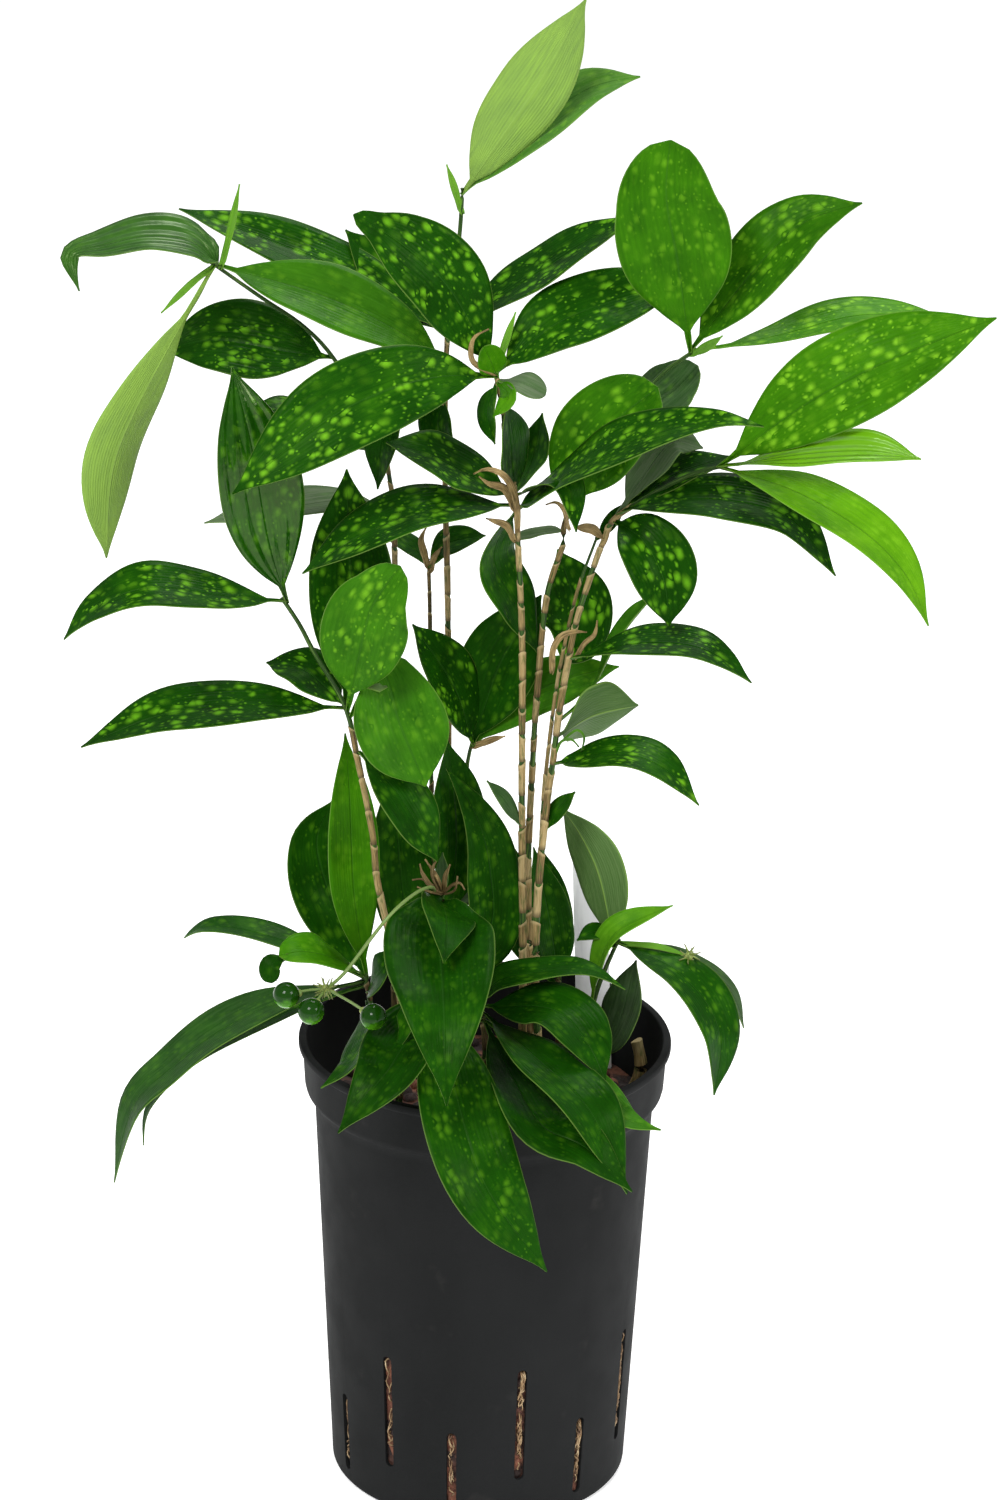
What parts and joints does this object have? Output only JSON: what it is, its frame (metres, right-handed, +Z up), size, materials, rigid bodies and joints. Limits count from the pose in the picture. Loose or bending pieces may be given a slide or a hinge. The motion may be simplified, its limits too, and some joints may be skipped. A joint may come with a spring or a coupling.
{
  "type": "potted dracaena",
  "caption": "Leafy houseplant with spotted lance-shaped leaves on upright canes, in a round slotted culture pot with a banded rim.",
  "frame": {"origin": "centre of the pot's underside, on the surface that it stands on", "axes": "+Z up along the pot's axis, the plant's front faces -Y, +X to the viewer's right"},
  "size_m": [0.3501, 0.1885, 0.6151],
  "materials": {
    "pot_plastic": "satin",
    "clay_granules": "rough",
    "leaf": "glossy",
    "cane": "matte",
    "berry": "glossy",
    "label_plastic": "satin"
  },
  "bodies": {
    "root": {"pot": "pot_plastic", "substrate": "clay_granules", "label": "label_plastic", "cane_stub": "cane", "berry_spray": "berry", "stem_top": "leaf", "stem_left": "leaf", "stem_bent": "leaf", "stem_middle": "leaf", "stem_right": "leaf", "stem_far_right": "leaf", "stem_short": "leaf", "stem_back": "leaf", "stem_inner": "leaf", "shoot_left": "leaf", "shoot_centre": "leaf", "shoot_front": "leaf", "shoot_right": "leaf", "shoot_back": "leaf"}
  },
  "joints": []
}
